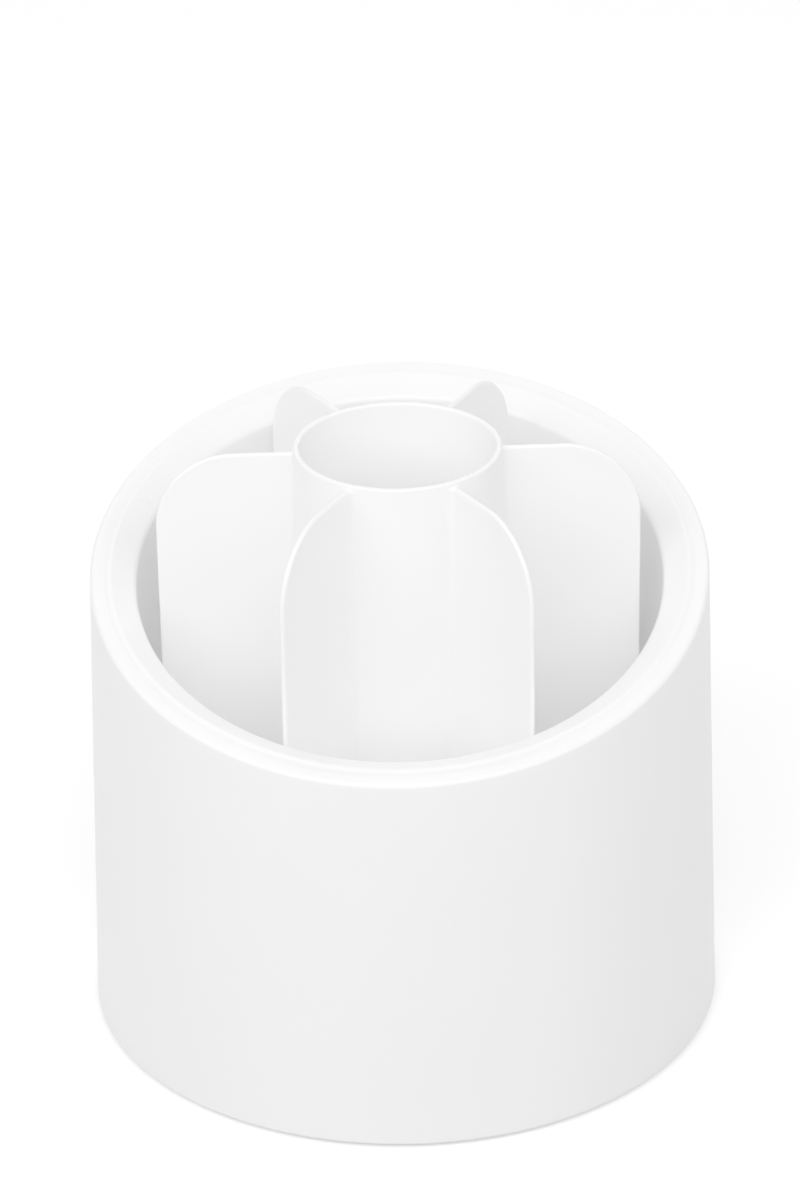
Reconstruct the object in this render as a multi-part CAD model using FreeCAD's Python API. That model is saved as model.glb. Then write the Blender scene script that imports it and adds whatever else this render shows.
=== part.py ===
"""Round brush pot with a slanted rim, a lift-out star divider and a turning base.

Millimetres. +Z is up, the origin is at the centre of the table face under the foot pads,
and the low side of the rim faces -Y.
"""

import FreeCAD, Part
import math
import os

from FreeCAD import Vector

# ---- Driving dimensions ------------------------------------------------------------------

# Outer shell
base_radius = 63.0        # outer radius of the shell at its bottom edge
side_draft = 1.55         # degrees that the side leans in towards the top
skirt_gap = 0.8           # table to the bottom edge of the shell
shell_wall = 2.0          # thickness of the sleeve
skirt_round = 0.4         # rounding of the bottom edge

# Slanted rim
rim_height = 95.0         # height of the rim plane on the axis
rim_slope = 14.8          # degrees that the rim plane rises towards the back
lip_width = 3.0           # flat lip, from the outside to the seam
lip_round = 1.0           # rounding of the lip's outer edge
seat_depth = 2.2          # lip top down to the ledge that carries the cup
ledge_depth = 1.6         # thickness of that ledge
ledge_reach = 1.8         # how far the ledge stands in past the seam
seam_round = 0.5          # rounding of both edges at the seam
seam_gap = 0.12           # hairline between the lip and the cup
seam_flat = 0.7           # flat edge of the cup beside the seam

# Inner cup
ring_width = 5.1          # sloping ring between that flat and the inner wall
ring_drop = 2.4           # how far that ring falls towards the inside
ring_round = 1.5          # rounding from the ring into the wall
cup_wall = 1.8
cup_draft = 0.8           # degrees that the cup narrows towards its floor
floor_thickness = 2.0
floor_round = 2.5         # inside corner between wall and floor
boss_height = 4.0         # screw bosses under the floor
boss_radius = 4.0

# Lift-out divider
tube_radius = 20.2        # outside of the centre tube
tube_wall = 1.2           # wall at the top of the tube
tube_thickening = 0.4     # extra wall at the bottom, inside
tube_rise = 25.0          # tube's rim above the rim plane, on the axis
tube_edge_round = 0.4
fin_count = 6
fin_gap = 3.3             # fins' outer edges to the cup wall, at the floor
fin_thickness = 1.1
fin_step_down = 0.8       # fins end this far below the tube's rim
fin_corner = 15.0         # radius of the rounded upper corner
fin_foot_corner = 2.0     # radius of the lower corner
fin_root_fillet = 1.2     # fillet between a fin and the tube
divider_turn = 3.0        # degrees that the loose divider sits round from the rim's low side
hub_height = 3.0          # boss on the cup floor that centres the tube
hub_chamfer = 0.6

# Turning base
pad_proud = 1.6           # foot pads stand this far below the base plate
plate_thickness = 2.6     # base plate
plate_side_gap = 1.6      # base plate to the inside of the shell
race_gap = 2.4            # between the base plate and the rotor plate
rotor_thickness = 3.0
ball_radius = 2.5
ball_count = 12
race_inset = 6.6          # circle of ball centres inside the circle of screws
cage_thickness = 1.2
cage_margin = 2.0         # cage beyond its pockets
post_radius = 5.0         # centre post of the base plate
post_proud = 0.3          # end float: post above the rotor plate
washer_radius = 8.0
washer_thickness = 1.0
plate_edge_round = 0.6

# Rubber foot pads
pad_count = 5
pad_turn = 90.0           # degrees round to the first pad
pad_radius = 5.5
pad_inset = 3.8           # pad to the edge of the base plate
pad_recess = 1.0
pad_chamfer = 0.4

# Screws
screw_radius = 1.5
rotor_screw_count = 4
rotor_screw_turn = 45.0   # degrees round to the first of them
boss_inset = 1.6          # screw boss to the outside of the cup
rotor_screw_length = 6.0
sunk_head_radius = 2.9
sunk_head_height = 1.5
pivot_screw_length = 7.0
pan_head_radius = 3.2
pan_head_height = 2.0
cross_length = 3.0        # cross recess in a screw head
cross_width = 0.7
cross_depth = 0.9

# Clearances
slip_fit = 0.3            # loose pieces that lift out or drop in
part_fit = 0.2            # pieces of one body that slide together once
running_fit = 0.08        # radial, post in rotor plate
ball_fit = 0.12           # ball in its race
thread_fit = 0.05         # screw in its hole

touching = 0.01           # how near an edge lies to a place that it is looked for at

# ---- Worked out from the driving dimensions ------------------------------------------------

side_lean = math.tan(math.radians(side_draft))
cup_lean = math.tan(math.radians(cup_draft))
rim_rise = math.tan(math.radians(rim_slope))
rim_reach = base_radius * rim_rise            # height from the axis to the rim's ends
space = 4 * base_radius                       # larger than the whole pot
above_all = rim_height + rim_reach + base_radius

shell_top_radius = base_radius - (rim_height - skirt_gap) * side_lean
seam_radius = shell_top_radius - lip_width
ledge_radius = seam_radius - ledge_reach
cup_rim_radius = seam_radius - seam_gap
ring_outer_radius = cup_rim_radius - seam_flat
ring_inner_radius = ring_outer_radius - ring_width

plate_bottom = pad_proud
plate_top = plate_bottom + plate_thickness
rotor_bottom = plate_top + race_gap
rotor_top = rotor_bottom + rotor_thickness
floor_bottom = rotor_top + boss_height
floor_top = floor_bottom + floor_thickness
post_top = rotor_top + post_proud
washer_top = post_top + washer_thickness
ball_height = plate_top + race_gap / 2


def shell_inside(height):
    """Inner radius of the shell's sleeve at a height."""
    return base_radius - shell_wall - (height - skirt_gap) * side_lean


def cup_inside(height):
    """Inner radius of the cup at a height."""
    return ring_inner_radius + (height - rim_height) * cup_lean


rotor_radius = shell_inside(rotor_top) - part_fit
plate_radius = shell_inside(plate_top) - plate_side_gap
rotor_screw_circle = cup_inside(floor_bottom) + cup_wall - boss_radius - boss_inset
ball_circle = rotor_screw_circle - race_inset
pad_circle = plate_radius - pad_inset - pad_radius
tube_foot_bore = tube_radius - tube_wall - tube_thickening
tube_top = rim_height + tube_rise
fin_reach = cup_inside(floor_top) - fin_gap
fin_top = tube_top - fin_step_down
pocket_radius = ball_radius + part_fit


# ---- Small builders ----------------------------------------------------------------------

def disc(radius, bottom, top):
    """Upright cylinder on the axis."""
    return Part.makeCylinder(radius, top - bottom, Vector(0, 0, bottom))


def ring(outer, inner, bottom, top):
    """Upright ring on the axis."""
    return disc(outer, bottom, top).cut(disc(inner, bottom - 1, top + 1))


def cone(bottom_radius, top_radius, bottom, top):
    """Upright cone frustum on the axis."""
    return Part.makeCone(bottom_radius, top_radius, top - bottom, Vector(0, 0, bottom))


def spread(count, radius, start=0.0):
    """Points evenly round a circle, as (x, y, angle in degrees)."""
    points = []
    for index in range(count):
        angle = start + index * 360.0 / count
        turn = math.radians(angle)
        points.append((radius * math.cos(turn), radius * math.sin(turn), angle))
    return points


def above_rim(offset):
    """All space above the rim plane moved up by offset."""
    block = Part.makeBox(space, space, space, Vector(-space / 2, -space / 2, 0))
    block.rotate(Vector(0, 0, 0), Vector(1, 0, 0), rim_slope)
    block.translate(Vector(0, 0, rim_height + offset))
    return block


def rim_loop(radius, offset):
    """The closed line where an upright cylinder crosses the rim plane moved up by offset."""
    centre = Vector(0, 0, rim_height + offset)
    uphill = centre + Vector(0, radius, radius * rim_rise)
    side = centre + Vector(radius, 0, 0)
    return Part.Wire(Part.Ellipse(uphill, side, centre).toShape())


def edges_where(shape, test):
    """The edges whose start, middle and end points all pass a test."""
    found = []
    for edge in shape.Edges:
        points = edge.discretize(5)
        if all(test(point) for point in points):
            found.append(edge)
    return found


def off_rim(point):
    """How far a point lies above the rim plane, measured upright."""
    return point.z - rim_height - point.y * rim_rise


def on_rim_at(radius):
    """A test for points that lie in the rim plane on an upright cylinder."""
    def test(point):
        near_plane = abs(off_rim(point)) < touching
        return near_plane and abs(math.hypot(point.x, point.y) - radius) < touching
    return test


def on_circle(radius, height):
    """A test for points on a level circle about the axis."""
    def test(point):
        near_level = abs(point.z - height) < touching
        return near_level and abs(math.hypot(point.x, point.y) - radius) < touching
    return test


def cross_recess(face_height, depth_direction):
    """Cutter for a cross recess whose mouth lies at face_height."""
    long_side = Vector(cross_length, cross_width, 0)
    arms = []
    for size in (long_side, Vector(long_side.y, long_side.x, 0)):
        low = face_height if depth_direction > 0 else face_height - cross_depth
        arms.append(Part.makeBox(size.x, size.y, cross_depth,
                                 Vector(-size.x / 2, -size.y / 2, low)))
    return arms[0].fuse(arms[1])


# ---- Pieces of the pot ---------------------------------------------------------------------

def make_outer_shell():
    """Sleeve that is open at the bottom, with a lip, a ledge for the cup and one for the rotor plate."""
    top_radius = base_radius - (above_all - skirt_gap) * side_lean
    body = cone(base_radius, top_radius, skirt_gap, above_all)
    body = body.cut(above_rim(0))
    top_edges = edges_where(body, lambda point: abs(off_rim(point)) < touching)
    body = body.makeFillet(lip_round, top_edges)

    hollow = cone(shell_inside(skirt_gap - 1), shell_inside(above_all), skirt_gap - 1, above_all)
    hollow = hollow.cut(above_rim(-seat_depth - ledge_depth))
    rotor_ledge = ring(base_radius, rotor_radius - ledge_reach, rotor_top, rotor_top + ledge_depth)
    body = body.cut(hollow.cut(rotor_ledge))
    body = body.cut(disc(ledge_radius, rotor_top + 2 * ledge_depth, above_all))
    seat = disc(seam_radius, rotor_top + 2 * ledge_depth, above_all)
    body = body.cut(seat.common(above_rim(-seat_depth)))

    body = body.makeFillet(seam_round, edges_where(body, on_rim_at(seam_radius)))
    skirt_edges = edges_where(body, lambda point: abs(point.z - skirt_gap) < touching)
    return body.makeFillet(skirt_round, skirt_edges)


def make_inner_cup():
    """Cup with a sloping ring round its mouth, a centre hub and screw bosses."""
    flange = disc(cup_rim_radius, floor_top, above_all)
    flange = flange.common(above_rim(-seat_depth)).cut(above_rim(0))
    spigot = disc(ledge_radius - part_fit, floor_top, above_all)
    spigot = spigot.common(above_rim(-seat_depth - ledge_depth)).cut(above_rim(-seat_depth / 2))
    wall = cone(cup_inside(floor_bottom) + cup_wall, cup_inside(above_all) + cup_wall,
                floor_bottom, above_all)
    wall = wall.cut(above_rim(-seat_depth))
    body = wall.fuse(spigot).fuse(flange)

    cavity = cone(cup_inside(floor_top), cup_inside(above_all), floor_top, above_all)
    floor_edge = edges_where(cavity, lambda point: abs(point.z - floor_top) < touching)
    cavity = cavity.makeFillet(floor_round, floor_edge)
    body = body.cut(cavity)

    mouth = Part.makeLoft([rim_loop(ring_outer_radius + ring_width, ring_drop),
                           rim_loop(ring_outer_radius - 2 * ring_width, -2 * ring_drop)], True, True)
    body = body.cut(mouth)
    body = body.makeFillet(seam_round, edges_where(body, on_rim_at(cup_rim_radius)))

    def on_ring_foot(point):
        near_ring = abs(off_rim(point) + ring_drop) < ring_round / 3
        return near_ring and abs(math.hypot(point.x, point.y) - ring_inner_radius) < ring_round / 2

    body = body.makeFillet(ring_round, edges_where(body, on_ring_foot))

    hub = disc(tube_foot_bore - slip_fit, floor_top - floor_thickness / 2, floor_top + hub_height)
    hub_edge = edges_where(hub, lambda point: abs(point.z - floor_top - hub_height) < touching)
    body = body.fuse(hub.makeChamfer(hub_chamfer, hub_edge))
    for x, y, angle in spread(rotor_screw_count, rotor_screw_circle, rotor_screw_turn):
        boss = disc(boss_radius, rotor_top, floor_bottom + floor_thickness / 2)
        boss.translate(Vector(x, y, 0))
        body = body.fuse(boss)
    for x, y, angle in spread(rotor_screw_count, rotor_screw_circle, rotor_screw_turn):
        hole = disc(screw_radius + thread_fit, rotor_top - 1,
                    rotor_bottom + rotor_screw_length + slip_fit)
        hole.translate(Vector(x, y, 0))
        body = body.cut(hole)
    return body.removeSplitter()


def make_rotor_plate():
    """Disc that closes the pot from below, with a ball race, a centre bore and sunk screw holes."""
    body = disc(rotor_radius, rotor_bottom, rotor_top)
    body = body.cut(disc(post_radius + running_fit, rotor_bottom - 1, rotor_top + 1))
    body = body.cut(ball_race())
    for x, y, angle in spread(rotor_screw_count, rotor_screw_circle, rotor_screw_turn):
        hole = disc(screw_radius + thread_fit, rotor_bottom - 1, rotor_top + 1)
        sink = cone(sunk_head_radius + thread_fit, screw_radius + thread_fit,
                    rotor_bottom, rotor_bottom + sunk_head_height)
        cutter = hole.fuse(sink)
        cutter.translate(Vector(x, y, 0))
        body = body.cut(cutter)
    return body


def make_rotor_screws():
    """Countersunk screws, heads down, from the rotor plate into the cup's bosses."""
    screws = []
    for x, y, angle in spread(rotor_screw_count, rotor_screw_circle, rotor_screw_turn):
        head = cone(sunk_head_radius, screw_radius, rotor_bottom, rotor_bottom + sunk_head_height)
        shank = disc(screw_radius, rotor_bottom + sunk_head_height,
                     rotor_bottom + rotor_screw_length)
        screw = head.fuse(shank).removeSplitter().cut(cross_recess(rotor_bottom, 1))
        screw.rotate(Vector(0, 0, 0), Vector(0, 0, 1), angle)
        screw.translate(Vector(x, y, 0))
        screws.append(screw)
    return Part.makeCompound(screws)


# ---- Divider -------------------------------------------------------------------------------

def fin_side():
    """Upright outline of one fin along +X: straight top, rounded outer corners."""
    inner = tube_radius - tube_wall / 2
    diagonal = math.sqrt(0.5)
    top_centre = Vector(fin_reach - fin_corner, 0, fin_top - fin_corner)
    foot_centre = Vector(fin_reach - fin_foot_corner, 0, floor_top + fin_foot_corner)
    top_arc = Part.Arc(
        top_centre + Vector(0, 0, fin_corner),
        top_centre + Vector(fin_corner * diagonal, 0, fin_corner * diagonal),
        top_centre + Vector(fin_corner, 0, 0))
    foot_arc = Part.Arc(
        foot_centre + Vector(fin_foot_corner, 0, 0),
        foot_centre + Vector(fin_foot_corner * diagonal, 0, -fin_foot_corner * diagonal),
        foot_centre + Vector(0, 0, -fin_foot_corner))
    lines = [
        Part.LineSegment(Vector(inner, 0, fin_top), top_arc.StartPoint),
        top_arc,
        Part.LineSegment(top_arc.EndPoint, foot_arc.StartPoint),
        foot_arc,
        Part.LineSegment(foot_arc.EndPoint, Vector(inner, 0, floor_top)),
        Part.LineSegment(Vector(inner, 0, floor_top), Vector(inner, 0, fin_top)),
    ]
    return Part.Wire([line.toShape() for line in lines])


def fin_section():
    """Level section of one fin along +X: rounded edge outside, fillets where it meets the tube."""
    half = fin_thickness / 2
    reach = tube_radius + fin_root_fillet
    fillet_y = half + fin_root_fillet
    fillet_x = math.sqrt(reach ** 2 - fillet_y ** 2)
    bend = (math.atan2(-fillet_y, -fillet_x) - math.pi / 2) / 2
    middle = Vector(fillet_x + fin_root_fillet * math.cos(bend),
                    fillet_y + fin_root_fillet * math.sin(bend), 0)
    on_fin = Vector(fillet_x, half, 0)
    on_tube = Vector(fillet_x, fillet_y, 0) * (tube_radius / reach)
    in_wall = on_tube * ((tube_radius - tube_wall / 2) / tube_radius)

    def mirrored(point):
        return Vector(point.x, -point.y, 0)

    lines = [
        Part.LineSegment(in_wall, on_tube),
        Part.Arc(on_tube, middle, on_fin),
        Part.LineSegment(on_fin, Vector(fin_reach - half, half, 0)),
        Part.Arc(Vector(fin_reach - half, half, 0), Vector(fin_reach, 0, 0),
                 Vector(fin_reach - half, -half, 0)),
        Part.LineSegment(Vector(fin_reach - half, -half, 0), mirrored(on_fin)),
        Part.Arc(mirrored(on_fin), mirrored(middle), mirrored(on_tube)),
        Part.LineSegment(mirrored(on_tube), mirrored(in_wall)),
        Part.LineSegment(mirrored(in_wall), in_wall),
    ]
    return Part.Wire([line.toShape() for line in lines])


def make_divider():
    """Centre tube and fins in one moulding, standing on the cup floor."""
    column = Part.Face(fin_section()).extrude(Vector(0, 0, fin_top - floor_top))
    column.translate(Vector(0, 0, floor_top))
    sheet = Part.Face(fin_side()).extrude(Vector(0, fin_reach, 0))
    sheet.translate(Vector(0, -fin_reach / 2, 0))
    fin = column.common(sheet)
    body = disc(tube_radius, floor_top, tube_top)
    rim = edges_where(body, lambda point: abs(point.z - tube_top) < touching)
    body = body.makeFillet(tube_edge_round, rim)
    for x, y, angle in spread(fin_count, fin_reach, divider_turn):
        turned = fin.copy()
        turned.rotate(Vector(0, 0, 0), Vector(0, 0, 1), angle)
        body = body.fuse(turned)
    body = body.cut(cone(tube_foot_bore, tube_radius - tube_wall, floor_top, tube_top))
    rim = edges_where(body, on_circle(tube_radius - tube_wall, tube_top))
    return body.makeFillet(tube_edge_round, rim)


# ---- Turning base --------------------------------------------------------------------------

def ball_race():
    """The round channel that the balls run in, cut from the plates above and below."""
    return Part.makeTorus(ball_circle, ball_radius + ball_fit, Vector(0, 0, ball_height))


def make_base_plate():
    """Still plate with the centre post, the lower ball race and recesses for the foot pads."""
    body = disc(plate_radius, plate_bottom, plate_top)
    rims = edges_where(body, lambda point: abs(math.hypot(point.x, point.y) - plate_radius) < touching)
    rims = [edge for edge in rims if edge.BoundBox.ZLength < touching]
    body = body.makeFillet(plate_edge_round, rims)
    body = body.fuse(disc(post_radius, plate_bottom, post_top)).removeSplitter()
    body = body.cut(disc(screw_radius + thread_fit, plate_bottom - 1, post_top + 1))
    body = body.cut(ball_race())
    for x, y, angle in spread(pad_count, pad_circle, pad_turn):
        recess = disc(pad_radius, plate_bottom - 1, plate_bottom + pad_recess)
        recess.translate(Vector(x, y, 0))
        body = body.cut(recess)
    return body


def make_ball_cage():
    """Thin ring with one pocket for each ball."""
    half_width = pocket_radius + cage_margin
    body = ring(ball_circle + half_width, ball_circle - half_width,
                ball_height - cage_thickness / 2, ball_height + cage_thickness / 2)
    for x, y, angle in spread(ball_count, ball_circle):
        pocket = disc(pocket_radius, ball_height - cage_thickness, ball_height + cage_thickness)
        pocket.translate(Vector(x, y, 0))
        body = body.cut(pocket)
    return body


def make_pivot_washer():
    """Washer on top of the post, wider than the rotor plate's bore."""
    return ring(washer_radius, screw_radius + thread_fit, post_top, washer_top)


def make_pivot_screw():
    """Pan-head screw that holds the washer on the post."""
    head = disc(pan_head_radius, washer_top, washer_top + pan_head_height)
    rim = edges_where(head, lambda point: abs(point.z - washer_top - pan_head_height) < touching)
    head = head.makeFillet(pan_head_height / 3, rim)
    shank = disc(screw_radius, washer_top - pivot_screw_length, washer_top)
    return head.fuse(shank).cut(cross_recess(washer_top + pan_head_height, -1))


def make_foot_pad():
    """Rubber pad on the axis, with a small chamfer where it meets the table."""
    pad = disc(pad_radius, 0, plate_bottom + pad_recess)
    return pad.makeChamfer(pad_chamfer, edges_where(pad, lambda point: abs(point.z) < touching))


# ---- Export --------------------------------------------------------------------------------

def all_pieces():
    """Every piece by its node name."""
    pieces = {
        "outer_shell": make_outer_shell(),
        "inner_cup": make_inner_cup(),
        "rotor_plate": make_rotor_plate(),
        "rotor_screws": make_rotor_screws(),
        "divider": make_divider(),
        "ball_cage": make_ball_cage(),
        "base_plate": make_base_plate(),
        "pivot_washer": make_pivot_washer(),
        "pivot_screw": make_pivot_screw(),
    }
    for index, (x, y, angle) in enumerate(spread(ball_count, ball_circle), start=1):
        ball = Part.makeSphere(ball_radius, Vector(x, y, ball_height))
        pieces["bearing_ball_%02d" % index] = ball
    for index, (x, y, angle) in enumerate(spread(pad_count, pad_circle, pad_turn), start=1):
        pad = make_foot_pad()
        pad.translate(Vector(x, y, 0))
        pieces["foot_pad_%d" % index] = pad
    return pieces


def main():
    """Build every piece and write one STEP file for each."""
    os.makedirs("parts", exist_ok=True)
    for name, shape in all_pieces().items():
        box = shape.BoundBox
        print("%-16s solids %2d  valid %s  volume %10.2f  z %.2f to %.2f"
              % (name, len(shape.Solids), shape.isValid(), shape.Volume, box.ZMin, box.ZMax))
        shape.exportStep("parts/%s.step" % name)


main()
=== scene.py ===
"""Looks of a round white brush pot with a slanted rim, a star divider and a turning base.

Smooth meshes stand for the shell, the cup and the divider. The pieces of the turning base keep
their own meshes and get their finishes here. Shapes are worked out in millimetres, in the frame's
own axes, and become metres when a mesh is made.
"""

from __future__ import annotations

import logging
import math
from dataclasses import dataclass, field
from enum import Enum
from typing import Callable

import bmesh
import bpy
from mathutils import Matrix, Vector


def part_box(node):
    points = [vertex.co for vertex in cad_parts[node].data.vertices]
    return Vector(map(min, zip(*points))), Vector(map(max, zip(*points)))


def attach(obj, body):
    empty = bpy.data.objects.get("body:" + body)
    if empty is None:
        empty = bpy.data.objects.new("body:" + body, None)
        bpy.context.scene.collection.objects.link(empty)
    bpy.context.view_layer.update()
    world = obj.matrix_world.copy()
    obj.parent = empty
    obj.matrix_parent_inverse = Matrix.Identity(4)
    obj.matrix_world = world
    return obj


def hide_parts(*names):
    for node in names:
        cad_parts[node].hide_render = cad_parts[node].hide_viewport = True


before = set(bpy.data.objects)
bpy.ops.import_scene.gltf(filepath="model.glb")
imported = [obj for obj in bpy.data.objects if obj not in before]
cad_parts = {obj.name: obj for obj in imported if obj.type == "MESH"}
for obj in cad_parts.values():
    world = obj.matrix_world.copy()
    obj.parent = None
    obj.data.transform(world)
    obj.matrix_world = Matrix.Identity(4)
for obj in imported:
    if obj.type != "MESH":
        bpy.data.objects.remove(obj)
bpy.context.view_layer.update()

MILLIMETRE = 0.001
PER_METRE = 1000.0
LOG = logging.getLogger("brush_pot")

Colour = tuple[float, float, float]
Point = tuple[float, float, float]
SectionPoint = tuple[float, float]


class Body(Enum):
    """Bodies of the frame that the pieces ride on."""

    BASE = "base"
    BALL_RING = "ball_ring"
    POT = "pot"
    DIVIDER = "divider"


class Slot(Enum):
    """Material slots of the record."""

    SHELL = "shell_white"
    CUP = "cup_white"
    DIVIDER = "divider_white"
    BASE = "base_white"
    CAGE = "cage_nylon"
    BALL = "ball_steel"
    SCREW = "screw_steel"
    PAD = "pad_rubber"


# ---- Shared geometry ---------------------------------------------------------------------------

@dataclass(frozen=True)
class Corner:
    """One corner of an upright section.

    Attributes:
        out: Distance from the axis.
        up: Height above the table.
        rounding: Radius of the rounded corner, or 0 for a sharp one.
        steps: Number of pieces that the rounding is divided into.
    """

    out: float
    up: float
    rounding: float = 0.0
    steps: int = 6


def soften(corners: list[Corner], closed: bool) -> list[SectionPoint]:
    """Turn the corners of a section into points, with arcs at the rounded ones.

    Each arc has one more point on both its sides, so that the flat faces beside it shade flat.

    Args:
        corners: The corners in order.
        closed: Whether the last corner joins the first.

    Returns:
        The points, always as many for the same kinds of corner.
    """
    beside_arc = 0.4
    least_beside = 0.1
    longest_share = 0.45
    points: list[SectionPoint] = []
    for index, corner in enumerate(corners):
        here = Vector((corner.out, corner.up))
        at_end = not closed and index in (0, len(corners) - 1)
        if at_end or corner.rounding == 0.0:
            points.append((here.x, here.y))
            continue
        before = corners[index - 1]
        after = corners[(index + 1) % len(corners)]
        back = Vector((before.out, before.up)) - here
        ahead = Vector((after.out, after.up)) - here
        half_angle = back.angle(ahead) / 2
        room = longest_share * min(back.length, ahead.length)
        tangent = min(corner.rounding / math.tan(half_angle), room)
        radius = tangent * math.tan(half_angle)
        back.normalize()
        ahead.normalize()
        centre = here + (back + ahead).normalized() * (radius / math.sin(half_angle))
        start = here + back * tangent
        end = here + ahead * tangent
        hold = min(beside_arc * radius, room - tangent + least_beside * tangent)
        points.append(tuple(start + back * hold))
        sweep = (start - centre).angle_signed(end - centre)
        for step in range(corner.steps + 1):
            arm = (start - centre).copy()
            arm.rotate(Matrix.Rotation(-sweep * step / corner.steps, 2))
            points.append(tuple(centre + arm))
        points.append(tuple(end + ahead * hold))
    return points


class MeshDraft:
    """Points and faces in millimetres that are collected before they become one mesh."""

    def __init__(self) -> None:
        """Start with nothing."""
        self.points: list[Point] = []
        self.faces: list[tuple[int, ...]] = []

    def add_grid(self, rows: list[list[Point]], wrap_rows: bool, wrap_columns: bool) -> None:
        """Add a net of four-sided faces.

        Args:
            rows: Rows of points, each as long as the others.
            wrap_rows: Whether the last row joins the first.
            wrap_columns: Whether the last point of a row joins its first.
        """
        first = len(self.points)
        width = len(rows[0])
        for row in rows:
            self.points.extend(row)
        row_steps = len(rows) if wrap_rows else len(rows) - 1
        column_steps = width if wrap_columns else width - 1
        for row in range(row_steps):
            below = first + row * width
            above = first + (row + 1) % len(rows) * width
            for column in range(column_steps):
                following = (column + 1) % width
                self.faces.append((below + column, below + following,
                                   above + following, above + column))

    def add_turned(self, section: Callable[[float], list[Corner]], turns: int, closed: bool,
                   centre: tuple[float, float] = (0.0, 0.0)) -> None:
        """Add a surface that is turned about an upright axis.

        Args:
            section: Gives the section's corners for a turn in radians.
            turns: Number of places round the axis.
            closed: Whether the section is a closed loop, or runs from axis to axis.
            centre: Where the axis stands.
        """
        rows = []
        for index in range(turns):
            turn = 2 * math.pi * index / turns
            row = [(centre[0] + out * math.cos(turn), centre[1] + out * math.sin(turn), up)
                   for out, up in soften(section(turn), closed)]
            rows.append(row)
        self.add_grid(rows, wrap_rows=True, wrap_columns=closed)

    def to_object(self, name: str, sharp_above: float = 38.0,
                  cap_height: float | None = None) -> bpy.types.Object:
        """Make the object, with smooth shading and sharp edges where faces meet steeply.

        Args:
            name: Name of the object and its mesh.
            sharp_above: Angle in degrees above which an edge is shaded sharp.
            cap_height: Height at which an open bottom is closed, if there is one.

        Returns:
            The new object, in metres.
        """
        same_place = 0.0005
        mesh = bpy.data.meshes.new(name)
        mesh.from_pydata(self.points, [], self.faces)
        work = bmesh.new()
        work.from_mesh(mesh)
        bmesh.ops.remove_doubles(work, verts=work.verts, dist=same_place)
        bmesh.ops.dissolve_degenerate(work, edges=work.edges, dist=same_place)
        if cap_height is not None:
            open_edges = [edge for edge in work.edges if edge.is_boundary
                          and abs(edge.verts[0].co.z - cap_height) < same_place]
            bmesh.ops.triangle_fill(work, use_beauty=True, edges=open_edges)
        bmesh.ops.recalc_face_normals(work, faces=work.faces)
        bmesh.ops.scale(work, vec=Vector((MILLIMETRE,) * 3), verts=work.verts)
        work.to_mesh(mesh)
        work.free()
        mesh.shade_smooth()
        mesh.set_sharp_from_angle(angle=math.radians(sharp_above))
        made = bpy.data.objects.new(name, mesh)
        bpy.context.scene.collection.objects.link(made)
        return made


def in_millimetres(node: str) -> tuple[Vector, Vector]:
    """Lowest and highest corner of a node of the frame, in millimetres."""
    low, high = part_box(node)
    return low / MILLIMETRE, high / MILLIMETRE


# ---- Shader groups -----------------------------------------------------------------------------

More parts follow.
